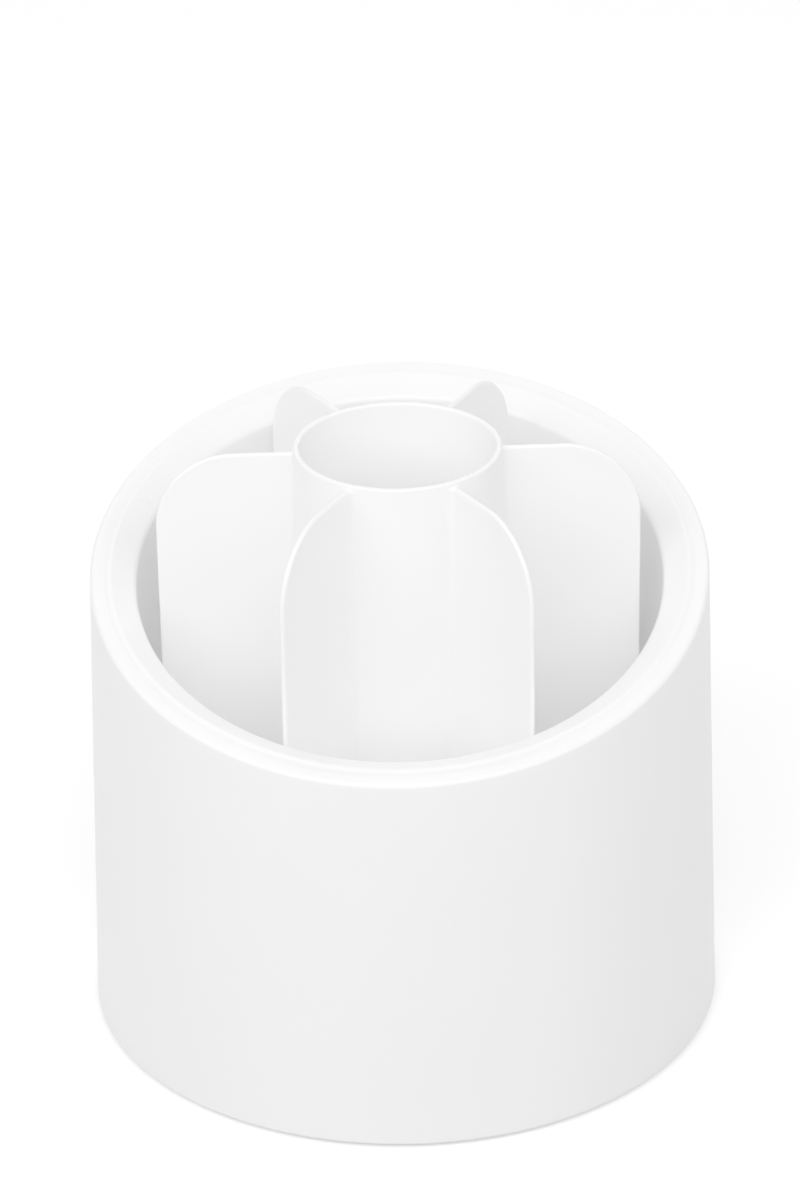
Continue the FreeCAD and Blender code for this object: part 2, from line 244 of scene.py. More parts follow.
class Wiring:
    """Adds nodes to a node tree and joins them by socket name."""

    def __init__(self, tree: bpy.types.NodeTree) -> None:
        """Keep the tree that is wired."""
        self.tree = tree

    def add(self, kind: str, settings: dict[str, object] | None = None,
            **sockets: object) -> bpy.types.Node:
        """Add one node.

        Args:
            kind: Blender's name of the node type.
            settings: Attributes to set on the node.
            **sockets: Input names, with _ for a space, and a value or an output to join.

        Returns:
            The new node.
        """
        node = self.tree.nodes.new(kind)
        for key, value in (settings or {}).items():
            setattr(node, key, value)
        for key, value in sockets.items():
            self.feed(node.inputs[key.replace("_", " ")], value)
        return node

    def feed(self, socket: bpy.types.NodeSocket, value: object) -> None:
        """Set an input to a value, or join it to an output.

        Args:
            socket: The input.
            value: The value, or the output to join.
        """
        if isinstance(value, bpy.types.NodeSocket):
            self.tree.links.new(value, socket)
        else:
            socket.default_value = value

    def maths(self, operation: str, *values: object, clamp: bool = False) -> bpy.types.NodeSocket:
        """Add a math node and return its output.

        Args:
            operation: Blender's name of the operation.
            *values: Its values or outputs, in order.
            clamp: Whether the result is kept from 0 to 1.

        Returns:
            The result.
        """
        node = self.add("ShaderNodeMath", {"operation": operation, "use_clamp": clamp})
        for socket, value in zip(node.inputs, values):
            self.feed(socket, value)
        return node.outputs["Value"]

    def span(self, value: object, low: object, high: object, to_low: object = 0.0,
             to_high: object = 1.0) -> bpy.types.NodeSocket:
        """Map a value from one span to another, smoothly and clamped.

        Args:
            value: The value to map.
            low: Start of its span.
            high: End of its span.
            to_low: What the start becomes.
            to_high: What the end becomes.

        Returns:
            The mapped value.
        """
        node = self.add("ShaderNodeMapRange", {"interpolation_type": "SMOOTHSTEP"})
        for name, given in (("Value", value), ("From Min", low), ("From Max", high),
                            ("To Min", to_low), ("To Max", to_high)):
            self.feed(node.inputs[name], given)
        return node.outputs["Result"]

    def noise(self, where: object, scale: object, detail: float = 3.0,
              roughness: float = 0.5) -> bpy.types.NodeSocket:
        """Add a noise texture and return its grey value.

        Args:
            where: Place to read it at.
            scale: Its scale.
            detail: Number of finer layers.
            roughness: How strong the finer layers are.

        Returns:
            The grey value.
        """
        node = self.add("ShaderNodeTexNoise", Vector=where, Scale=scale, Detail=detail,
                        Roughness=roughness)
        return node.outputs["Fac"]

    def blend(self, share: object, first: object, second: object) -> bpy.types.NodeSocket:
        """Mix two colours and return the result.

        Args:
            share: Share of the second colour.
            first: First colour.
            second: Second colour.

        Returns:
            The mixed colour.
        """
        factor, first_colour, second_colour, mixed_colour = 0, 6, 7, 2
        node = self.add("ShaderNodeMix", {"data_type": "RGBA"})
        self.feed(node.inputs[factor], share)
        self.feed(node.inputs[first_colour], first)
        self.feed(node.inputs[second_colour], second)
        return node.outputs[mixed_colour]

    def place_on_piece(self) -> bpy.types.NodeSocket:
        """Return the place in the piece's own axes, in metres."""
        return self.add("ShaderNodeTexCoord").outputs["Object"]

    def scale_for(self, size: object) -> bpy.types.NodeSocket:
        """Return the scale of a texture whose size is given in millimetres."""
        return self.maths("DIVIDE", PER_METRE, size)

    def relief(self, shader: bpy.types.Node, strength: float, depth: float,
               height: object) -> None:
        """Give a shader a relief; its depth is in metres."""
        bump = self.add("ShaderNodeBump", Strength=strength, Distance=depth, Height=height)
        self.feed(shader.inputs["Normal"], bump.outputs["Normal"])


class EffectGroup:
    """A surface effect that several materials place with their own values."""

    name = "effect"
    takes: dict[str, float] = {}
    gives: tuple[str, ...] = ()

    def tree(self) -> bpy.types.NodeTree:
        """Build the node group the first time that it is asked for.

        Returns:
            The node group.
        """
        made = bpy.data.node_groups.get(self.name)
        if made is not None:
            return made
        made = bpy.data.node_groups.new(self.name, "ShaderNodeTree")
        for name, value in self.takes.items():
            socket = made.interface.new_socket(name, in_out="INPUT", socket_type="NodeSocketFloat")
            socket.default_value = value
        for name in self.gives:
            made.interface.new_socket(name, in_out="OUTPUT", socket_type="NodeSocketFloat")
        wiring = Wiring(made)
        entry = wiring.add("NodeGroupInput")
        leaving = wiring.add("NodeGroupOutput")
        for name, value in self.wire(wiring, entry.outputs).items():
            wiring.feed(leaving.inputs[name], value)
        return made

    def wire(self, wiring: Wiring, takes: bpy.types.NodeOutputs) -> dict[str, object]:
        """Build the inside of the group.

        Args:
            wiring: Wires the group's tree.
            takes: The group's named inputs.

        Returns:
            The value for each named output.
        """
        raise NotImplementedError

    def place(self, wiring: Wiring, **values: object) -> bpy.types.NodeOutputs:
        """Place the group in a material and return its outputs."""
        node = wiring.add("ShaderNodeGroup", {"node_tree": self.tree()}, **values)
        return node.outputs


class MouldedSkin(EffectGroup):
    """Fine polish grain and slow sink of a moulded plastic wall."""

    name = "moulded_skin"
    takes = {"Grain Size": 0.25, "Grain Depth": 0.3, "Sink Size": 18.0, "Sink Depth": 1.0}
    gives = ("Height", "Tone")

    def wire(self, wiring: Wiring, takes: bpy.types.NodeOutputs) -> dict[str, object]:
        """Add fine grain to slow waves; the tone follows the waves.

        Args:
            wiring: Wires the group's tree.
            takes: The group's named inputs.

        Returns:
            The relief and the tone.
        """
        where = wiring.place_on_piece()
        grain_scale = wiring.scale_for(takes["Grain Size"])
        sink_scale = wiring.scale_for(takes["Sink Size"])
        grain = wiring.noise(where, grain_scale, detail=2.0, roughness=0.55)
        sink = wiring.noise(where, sink_scale, detail=1.5, roughness=0.4)
        height = wiring.maths("ADD", wiring.maths("MULTIPLY", grain, takes["Grain Depth"]),
                              wiring.maths("MULTIPLY", sink, takes["Sink Depth"]))
        return {"Height": height, "Tone": wiring.span(sink, low=0.3, high=0.7)}


class HandlingFilm(EffectGroup):
    """Smudges of handling and a little dust, as a change of roughness."""

    name = "handling_film"
    takes = {"Roughness": 0.3, "Change": 0.06, "Smudge Size": 14.0}
    gives = ("Roughness", "Dust")

    def wire(self, wiring: Wiring, takes: bpy.types.NodeOutputs) -> dict[str, object]:
        """Take smudges from a soft noise, and dust from small specks on faces that look up.

        Args:
            wiring: Wires the group's tree.
            takes: The group's named inputs.

        Returns:
            The roughness and the mask of the dust.
        """
        speck_scale = 2600.0
        where = wiring.place_on_piece()
        smudge = wiring.noise(where, wiring.scale_for(takes["Smudge Size"]))
        smudge = wiring.span(smudge, low=0.35, high=0.75)
        roughness = wiring.maths("ADD", takes["Roughness"],
                                 wiring.maths("MULTIPLY", smudge, takes["Change"]), clamp=True)
        speck = wiring.span(wiring.noise(where, speck_scale, detail=2.0), low=0.68, high=0.74)
        facing = wiring.add("ShaderNodeSeparateXYZ")
        wiring.feed(facing.inputs[0], wiring.add("ShaderNodeNewGeometry").outputs["Normal"])
        up = wiring.span(facing.outputs["Z"], low=0.6, high=0.95)
        return {"Roughness": roughness, "Dust": wiring.maths("MULTIPLY", speck, up)}


class EdgeRub(EffectGroup):
    """Mask of the outer edges, which handling has rubbed."""

    name = "edge_rub"
    takes = {"From": 0.52, "To": 0.6}
    gives = ("Mask",)

    def wire(self, wiring: Wiring, takes: bpy.types.NodeOutputs) -> dict[str, object]:
        """Follow how far the surface bulges out, broken up by a noise.

        Args:
            wiring: Wires the group's tree.
            takes: The group's named inputs.

        Returns:
            The mask of the rubbed edges.
        """
        patch_scale, least_rub = 420.0, 0.2
        where = wiring.place_on_piece()
        bulge = wiring.add("ShaderNodeNewGeometry").outputs["Pointiness"]
        edge = wiring.span(bulge, takes["From"], takes["To"])
        patches = wiring.noise(where, patch_scale, detail=4.0, roughness=0.6)
        patchy = wiring.span(patches, low=0.35, high=0.62, to_low=least_rub)
        return {"Mask": wiring.maths("MULTIPLY", edge, patchy)}


class TurnedMarks(EffectGroup):
    """Fine rings that a lathe or a press tool leaves about an upright axis."""

    name = "turned_marks"
    takes = {"Pitch": 0.18, "Depth": 1.0, "Roughness": 0.3, "Change": 0.12}
    gives = ("Height", "Roughness")

    def wire(self, wiring: Wiring, takes: bpy.types.NodeOutputs) -> dict[str, object]:
        """Take rings from the distance to the axis, and lay a soft noise over them.

        Args:
            wiring: Wires the group's tree.
            takes: The group's named inputs.

        Returns:
            The relief and the roughness.
        """
        ring_share, smear_share, smear_scale = 0.7, 0.3, 900.0
        where = wiring.place_on_piece()
        flat = wiring.add("ShaderNodeVectorMath", {"operation": "MULTIPLY"})
        wiring.feed(flat.inputs[0], where)
        wiring.feed(flat.inputs[1], (1.0, 1.0, 0.0))
        length = wiring.add("ShaderNodeVectorMath", {"operation": "LENGTH"})
        wiring.feed(length.inputs[0], flat.outputs["Vector"])
        turns = wiring.maths("MULTIPLY", length.outputs["Value"],
                             wiring.scale_for(takes["Pitch"]))
        rings = wiring.add("ShaderNodeTexNoise", {"noise_dimensions": "1D"}, W=turns, Scale=1.0,
                           Detail=2.0, Roughness=0.6).outputs["Fac"]
        smear = wiring.noise(where, smear_scale, detail=4.0, roughness=0.6)
        mixed = wiring.maths("ADD", wiring.maths("MULTIPLY", rings, ring_share),
                             wiring.maths("MULTIPLY", smear, smear_share))
        roughness = wiring.maths("ADD", takes["Roughness"],
                                 wiring.maths("MULTIPLY", mixed, takes["Change"]), clamp=True)
        return {"Height": wiring.maths("MULTIPLY", rings, takes["Depth"]), "Roughness": roughness}


SKIN = MouldedSkin()
FILM = HandlingFilm()
RUB = EdgeRub()
MARKS = TurnedMarks()


# ---- Finishes ----------------------------------------------------------------------------------

def start_material(name: str) -> tuple[bpy.types.Material, Wiring, bpy.types.Node]:
    """Make an empty material with its main shader.

    Args:
        name: Name of the material.

    Returns:
        The material, the wiring of its tree and its Principled BSDF.
    """
    material = bpy.data.materials.new(name)
    material.use_nodes = True
    material.node_tree.nodes.clear()
    wiring = Wiring(material.node_tree)
    shader = wiring.add("ShaderNodeBsdfPrincipled")
    end = wiring.add("ShaderNodeOutputMaterial")
    wiring.feed(end.inputs["Surface"], shader.outputs["BSDF"])
    return material, wiring, shader


def with_alpha(colour: Colour) -> tuple[float, float, float, float]:
    """The colour with full alpha."""
    return (*colour, 1.0)


@dataclass(frozen=True)
class MouldedPlastic:
    """Moulded plastic with polish grain, slow sink, smudges and a little dust.

    Attributes:
        name: Name of the material.
        colour: Main colour.
        shade: The colour that the slow waves and the dust lean to.
        roughness: Roughness where nothing has touched it.
        smudge: How much rougher the smudges are.
        grain_size: Size of the grain in millimetres.
        grain_depth: Depth of the grain against the sink's.
        bump: Strength of the relief.
        relief_depth: Depth of the relief in metres.
        dust_share: How far the dust covers the colour.
        translucence: Share of the light that spreads under the surface.
        spread: How far that light spreads, in metres.
        refraction: Index of refraction.
    """

    name: str
    colour: Colour
    shade: Colour
    roughness: float = 0.32
    smudge: float = 0.03
    grain_size: float = 0.35
    grain_depth: float = 0.35
    bump: float = 0.12
    relief_depth: float = 0.0001
    dust_share: float = 0.25
    translucence: float = 0.0
    spread: float = 0.003
    refraction: float = 1.49

    def material(self) -> bpy.types.Material:
        """Build the material.

        Returns:
            The material.
        """
        material, wiring, shader = start_material(self.name)
        skin = SKIN.place(wiring, Grain_Size=self.grain_size, Grain_Depth=self.grain_depth)
        film = FILM.place(wiring, Roughness=self.roughness, Change=self.smudge)
        rub = RUB.place(wiring)
        tint = wiring.blend(skin["Tone"], with_alpha(self.colour), with_alpha(self.shade))
        dusty = wiring.blend(wiring.maths("MULTIPLY", film["Dust"], self.dust_share), tint,
                             with_alpha(self.shade))
        wiring.feed(shader.inputs["Base Color"], dusty)
        polished = wiring.maths("SUBTRACT", film["Roughness"],
                                wiring.maths("MULTIPLY", rub["Mask"], self.smudge), clamp=True)
        wiring.feed(shader.inputs["Roughness"], polished)
        wiring.relief(shader, self.bump, self.relief_depth, skin["Height"])
        shader.inputs["IOR"].default_value = self.refraction
        shader.inputs["Subsurface Weight"].default_value = self.translucence
        shader.inputs["Subsurface Radius"].default_value = (1.0, 0.95, 0.9)
        shader.inputs["Subsurface Scale"].default_value = self.spread
        return material


@dataclass(frozen=True)
class TurnedSteel:
    """Steel with fine turned rings.

    Attributes:
        name: Name of the material.
        colour: Colour of the metal.
        roughness: Roughness of the finest rings.
        change: How much rougher the coarse rings are.
        pitch: Distance between rings in millimetres.
        bump: Strength of the rings' relief.
        relief_depth: Depth of the relief in metres.
        unrubbed: How bright the metal is where nothing has rubbed it.
    """

    name: str
    colour: Colour
    roughness: float = 0.25
    change: float = 0.15
    pitch: float = 0.18
    bump: float = 0.2
    relief_depth: float = 0.00005
    unrubbed: float = 0.8

    def material(self) -> bpy.types.Material:
        """Build the material.

        Returns:
            The material.
        """
        material, wiring, shader = start_material(self.name)
        marks = MARKS.place(wiring, Pitch=self.pitch, Roughness=self.roughness,
                            Change=self.change)
        rub = RUB.place(wiring)
        darker = tuple(self.unrubbed * channel for channel in self.colour)
        tint = wiring.blend(rub["Mask"], with_alpha(darker), with_alpha(self.colour))
        wiring.feed(shader.inputs["Base Color"], tint)
        shader.inputs["Metallic"].default_value = 1.0
        wiring.feed(shader.inputs["Roughness"], marks["Roughness"])
        wiring.relief(shader, self.bump, self.relief_depth, marks["Height"])
        return material


@dataclass(frozen=True)
class PadRubber:
    """Dark rubber with a grey bloom and a fine grain.

    Attributes:
        name: Name of the material.
        colour: Colour of the rubber.
        bloom: Colour of the bloom.
        bump: Strength of the relief.
        relief_depth: Depth of the relief in metres.
    """

    name: str
    colour: Colour
    bloom: Colour
    bump: float = 0.5
    relief_depth: float = 0.00008

    def material(self) -> bpy.types.Material:
        """Build the material.

        Returns:
            The material.
        """
        material, wiring, shader = start_material(self.name)
        skin = SKIN.place(wiring, Grain_Size=0.22, Grain_Depth=1.0, Sink_Size=3.0,
                          Sink_Depth=0.6)
        film = FILM.place(wiring, Roughness=0.7, Change=0.2, Smudge_Size=4.0)
        tint = wiring.blend(skin["Tone"], with_alpha(self.colour), with_alpha(self.bloom))
        wiring.feed(shader.inputs["Base Color"], tint)
        wiring.feed(shader.inputs["Roughness"], film["Roughness"])
        wiring.relief(shader, self.bump, self.relief_depth, skin["Height"])
        return material


FINISHES = {
    Slot.SHELL: MouldedPlastic("satin_shell_white", (0.928, 0.928, 0.933), (0.918, 0.918, 0.927),
                               translucence=0.1),
    Slot.CUP: MouldedPlastic("satin_cup_white", (0.94, 0.94, 0.943), (0.932, 0.932, 0.938),
                             roughness=0.3, translucence=0.1),
    Slot.DIVIDER: MouldedPlastic("satin_divider_white", (0.94, 0.94, 0.94),
                                 (0.932, 0.932, 0.934), roughness=0.28, translucence=0.1),
    Slot.BASE: MouldedPlastic("matt_base_white", (0.74, 0.74, 0.74), (0.7, 0.7, 0.705),
                              roughness=0.5, grain_size=0.3, grain_depth=1.0, bump=0.35),
    Slot.CAGE: MouldedPlastic("natural_nylon", (0.68, 0.67, 0.6), (0.62, 0.61, 0.54),
                              roughness=0.45, translucence=0.4),
    Slot.BALL: TurnedSteel("bearing_steel", (0.78, 0.79, 0.8), roughness=0.05, change=0.05,
                           pitch=0.6, bump=0.02),
    Slot.SCREW: TurnedSteel("zinc_plated_steel", (0.66, 0.67, 0.69)),
    Slot.PAD: PadRubber("pad_rubber", (0.028, 0.028, 0.03), (0.06, 0.06, 0.062)),
}


class Workshop:
    """Dresses pieces and joins them to their bodies."""

    def __init__(self) -> None:
        """Start with no material made."""
        self.materials: dict[Slot, bpy.types.Material] = {}

    def finish_of(self, slot: Slot) -> bpy.types.Material:
        """Make the material of a slot once.

        Args:
            slot: The slot.

        Returns:
            Its material.
        """
        if slot not in self.materials:
            self.materials[slot] = FINISHES[slot].material()
        return self.materials[slot]

    def dress_new(self, piece: bpy.types.Object, slot: Slot, body: Body, node: str) -> None:
        """Finish a new piece, let it ride on its body and stand for its node.

        Args:
            piece: The new piece, in place.
            slot: Material slot of its finish.
            body: Body that it rides on.
            node: Node of the frame that it stands for.
        """
        piece.data.materials.append(self.finish_of(slot))
        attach(piece, body.value)
        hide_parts(node)
        LOG.info("%s stands for %s on %s, %d faces", piece.name, node, body.value,
                 len(piece.data.polygons))

    def dress_node(self, node: str, slot: Slot) -> None:
        """Give a node of the frame its finish.

        Args:
            node: Name of the node.
            slot: Material slot of its finish.
        """
        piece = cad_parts[node]
        piece.data.materials.clear()
        piece.data.materials.append(self.finish_of(slot))
        LOG.info("%s dressed as %s", node, slot.value)


# ---- Pot ---------------------------------------------------------------------------------------

@dataclass(frozen=True)
class RimPlane:
    """The slanted plane of the rim.

    Attributes:
        height: Height of the plane on the axis.
        slope: Degrees that it rises towards +Y.
    """

    height: float = 95.0
    slope: float = 14.8

    def climb(self, turn: float) -> float:
        """How steeply the plane climbs outwards in the direction of a turn in radians."""
        return math.tan(math.radians(self.slope)) * math.sin(turn)

    def at(self, turn: float, out: float, above: float = 0.0) -> float:
        """Height of the plane at a place, raised by an amount."""
        return self.height + self.climb(turn) * out + above


@dataclass
class PotBody:
    """Shell and cup of the pot. Sizes are in millimetres and drafts in degrees.

    Attributes:
        workshop: Dresses the pieces.
        rim: Plane of the slanted rim.
        turns: Places round the pot's axis.
        boss_turns: Places round a screw boss.
        side_draft: Draft of the outer side.
        shell_wall: Thickness of the shell.
        skirt_round: Rounding of the bottom edge.
        lip_width: Width of the lip, from its outer edge to the seam.
        lip_round: Rounding of the lip's outer edge.
        seat_depth: Depth of the cup's seat under the rim.
        ledge_depth: Thickness of the ledges.
        ledge_reach: How far the ledges stand in.
        seam_gap: Gap at the seam, which the ring's place counts from.
        seam_flat: Flat strip between the seam and the ring.
        valley_reach: How far the valley at the seam reaches out over the lip.
        valley_depth: Depth of the valley.
        valley_flat: Half width of its bottom.
        valley_round: Rounding of its edges.
        hairline: Gap that is left open in its bottom.
        ring_width: Width of the sloping ring.
        ring_drop: How far the ring drops inwards.
        ring_round: Rounding where it turns into the wall.
        cup_wall: Thickness of the cup's wall.
        cup_draft: Draft of the cup's wall.
        floor_thickness: Thickness of the cup's floor.
        floor_round: Rounding where the wall meets the floor.
        under_round: Rounding of the floor's edge from below.
        hub_height: Height of the hub above the floor.
        hub_chamfer: Chamfer of the hub.
        hub_round: Rounding of the chamfer's edges.
        hub_foot_round: Rounding where the hub meets the floor.
        slip_fit: Room between the hub and the divider.
        part_fit: Room between the cup's spigot and the ledge.
        boss_radius: Radius of a screw boss.
        boss_round: Rounding of its lower edge.
        screw_hole: Radius of its hole.
        screw_head: Radius of a screw's head.
    """

    workshop: Workshop
    rim: RimPlane = field(default_factory=RimPlane)
    turns: int = 256
    boss_turns: int = 48
    side_draft: float = 1.55
    shell_wall: float = 2.0
    skirt_round: float = 0.4
    lip_width: float = 3.0
    lip_round: float = 1.0
    seat_depth: float = 2.2
    ledge_depth: float = 1.6
    ledge_reach: float = 1.8
    seam_gap: float = 0.12
    seam_flat: float = 0.7
    valley_reach: float = 1.4
    valley_depth: float = 0.24
    valley_flat: float = 0.25
    valley_round: float = 2.0
    hairline: float = 0.015
    ring_width: float = 5.1
    ring_drop: float = 2.4
    ring_round: float = 1.5
    cup_wall: float = 1.8
    cup_draft: float = 0.8
    floor_thickness: float = 2.0
    floor_round: float = 2.5
    under_round: float = 0.6
    hub_height: float = 3.0
    hub_chamfer: float = 0.6
    hub_round: float = 0.25
    hub_foot_round: float = 0.3
    slip_fit: float = 0.3
    part_fit: float = 0.2
    boss_radius: float = 4.0
    boss_round: float = 0.2
    screw_hole: float = 1.55
    screw_head: float = 2.9

    def __post_init__(self) -> None:
        """Take the sizes that the frame settles."""
        shell_low, shell_high = in_millimetres("outer_shell")
        self.base_radius = round(shell_high.x, 1)
        self.skirt_gap = shell_low.z
        self.rotor_low, self.rotor_high = in_millimetres("rotor_plate")
        self.floor_top = in_millimetres("divider")[0].z
        self.floor_bottom = self.floor_top - self.floor_thickness
        self.side_lean = math.tan(math.radians(self.side_draft))
        self.cup_lean = math.tan(math.radians(self.cup_draft))
        top_radius = self.base_radius - (self.rim.height - self.skirt_gap) * self.side_lean
        self.seam_radius = top_radius - self.lip_width
        self.ledge_radius = self.seam_radius - self.ledge_reach
        self.cup_rim_radius = self.seam_radius - self.seam_gap
        self.ring_outer = self.cup_rim_radius - self.seam_flat
        self.ring_inner = self.ring_outer - self.ring_width

    def side(self, up: float, inwards: float = 0.0) -> float:
        """Radius of the leaning side at a height, less a distance inwards."""
        return self.base_radius - (up - self.skirt_gap) * self.side_lean - inwards

    def cup_inside(self, up: float) -> float:
        """Inner radius of the cup at a height."""
        return self.ring_inner + (up - self.rim.height) * self.cup_lean

    def shell_section(self, turn: float) -> list[Corner]:
        """Section of the shell: side, lip, seat for the cup, sleeve and the plate's ledge.

        Args:
            turn: Direction from the axis in radians.

        Returns:
            The corners in order.
        """
        climb = self.rim.climb(turn)
        lip_out = self.side(self.rim.height) / (1 + climb * self.side_lean)
        valley = self.seam_radius + self.valley_reach
        bottom = self.seam_radius + self.valley_flat
        seat = self.rim.at(turn, self.seam_radius, -self.seat_depth)
        ledge = self.rim.at(turn, self.ledge_radius, -self.seat_depth)
        under = self.rim.at(turn, self.ledge_radius, -self.seat_depth - self.ledge_depth)
        sleeve_top = self.side(under, self.shell_wall)
        rotor_ledge = self.rotor_high.z + self.ledge_depth
        rotor_hold = self.rotor_high.x - self.ledge_reach
        return [
            Corner(self.base_radius, self.skirt_gap, self.skirt_round, steps=4),
            Corner(lip_out, self.rim.at(turn, lip_out), self.lip_round, steps=8),
            Corner(valley, self.rim.at(turn, valley), self.valley_round),
            Corner(bottom, self.rim.at(turn, bottom, -self.valley_depth), self.valley_round,
                   steps=5),
            Corner(self.seam_radius, self.rim.at(turn, self.seam_radius, -self.valley_depth)),
            Corner(self.seam_radius, seat),
            Corner(self.ledge_radius, ledge),
            Corner(self.ledge_radius, under),
            Corner(sleeve_top, self.rim.at(turn, sleeve_top, -self.seat_depth - self.ledge_depth)),
            Corner(self.side(rotor_ledge, self.shell_wall), rotor_ledge),
            Corner(rotor_hold, rotor_ledge),
            Corner(rotor_hold, self.rotor_high.z),
            Corner(self.side(self.rotor_high.z, self.shell_wall), self.rotor_high.z),
            Corner(self.side(self.skirt_gap, self.shell_wall), self.skirt_gap,
                   self.skirt_round, steps=4),
        ]

    def cup_section(self, turn: float, hub_radius: float) -> list[Corner]:
        """Section of the cup from the top of its hub, up over the rim and back under the floor.

        Args:
            turn: Direction from the axis in radians.
            hub_radius: Radius of the hub that centres the divider.

        Returns:
            The corners in order.
        """
        settling_rounds = 4
        ring_slope = self.ring_drop / self.ring_width
        foot_out = self.ring_inner
        for _ in range(settling_rounds):
            foot_up = self.rim.at(turn, foot_out, (foot_out - self.ring_outer) * ring_slope)
            foot_out = self.cup_inside(foot_up)
        crest = self.ring_outer - self.valley_flat / 2
        bottom = self.seam_radius - self.valley_flat
        edge = self.seam_radius - self.hairline
        spigot = self.ledge_radius - self.part_fit
        spigot_drop = -self.seat_depth - self.ledge_depth
        wall_out = self.cup_inside(self.rim.height) + self.cup_wall
        wall_up = self.rim.at(turn, wall_out, spigot_drop)
        wall_out = self.cup_inside(wall_up) + self.cup_wall
        hub_top = self.floor_top + self.hub_height
        return [
            Corner(0.0, hub_top),
            Corner(hub_radius - self.hub_chamfer, hub_top, self.hub_round, steps=3),
            Corner(hub_radius, hub_top - self.hub_chamfer, self.hub_round, steps=3),
            Corner(hub_radius, self.floor_top, self.hub_foot_round, steps=3),
            Corner(self.cup_inside(self.floor_top), self.floor_top, self.floor_round, steps=8),
            Corner(foot_out, foot_up, self.ring_round, steps=8),
            Corner(crest, self.rim.at(turn, crest, (crest - self.ring_outer) * ring_slope),
                   self.valley_round),
            Corner(bottom, self.rim.at(turn, bottom, -self.valley_depth), self.valley_round,
                   steps=5),
            Corner(edge, self.rim.at(turn, edge, -self.valley_depth)),
            Corner(edge, self.rim.at(turn, edge, -self.seat_depth)),
            Corner(spigot, self.rim.at(turn, spigot, -self.seat_depth)),
            Corner(spigot, self.rim.at(turn, spigot, spigot_drop)),
            Corner(wall_out, self.rim.at(turn, wall_out, spigot_drop)),
            Corner(self.cup_inside(self.floor_bottom) + self.cup_wall, self.floor_bottom,
                   self.under_round, steps=4),
            Corner(0.0, self.floor_bottom),
        ]

    def boss_section(self, turn: float) -> list[Corner]:
        """Section of one hollow screw boss under the floor.

        Args:
            turn: Direction from the axis in radians; not used, as the boss is the same all round.

        Returns:
            The corners in order.
        """
        into_floor = self.floor_bottom + self.floor_thickness / 4
        return [
            Corner(self.screw_hole, self.rotor_high.z),
            Corner(self.boss_radius, self.rotor_high.z, self.boss_round, steps=3),
            Corner(self.boss_radius, into_floor),
            Corner(self.screw_hole, into_floor),
        ]

    def build_shell(self) -> bpy.types.Object:
        """Make the shell.

        Returns:
            The shell.
        """
        draft = MeshDraft()
        draft.add_turned(self.shell_section, self.turns, closed=True)
        return draft.to_object("shell_sleeve")

    def build_cup(self, hub_radius: float, screws: list[tuple[float, float]]) -> bpy.types.Object:
        """Make the cup with its hub and screw bosses.

        Args:
            hub_radius: Radius of the hub that centres the divider.
            screws: Places of the screw bosses.

        Returns:
            The cup.
        """
        draft = MeshDraft()
        draft.add_turned(lambda turn: self.cup_section(turn, hub_radius), self.turns, closed=False)
        for place in screws:
            draft.add_turned(self.boss_section, self.boss_turns, closed=True, centre=place)
        return draft.to_object("cup_liner")

    def build(self, hub_radius: float) -> None:
        """Make and dress the shell and the cup.

        Args:
            hub_radius: Radius of the hub that centres the divider.
        """
        reach = in_millimetres("rotor_screws")[1].x - self.screw_head
        screws = [(side * reach, front * reach) for side in (1, -1) for front in (1, -1)]
        self.workshop.dress_new(self.build_shell(), Slot.SHELL, Body.POT, "outer_shell")
        self.workshop.dress_new(self.build_cup(hub_radius, screws), Slot.CUP, Body.POT,
                                "inner_cup")


# ---- Divider -----------------------------------------------------------------------------------

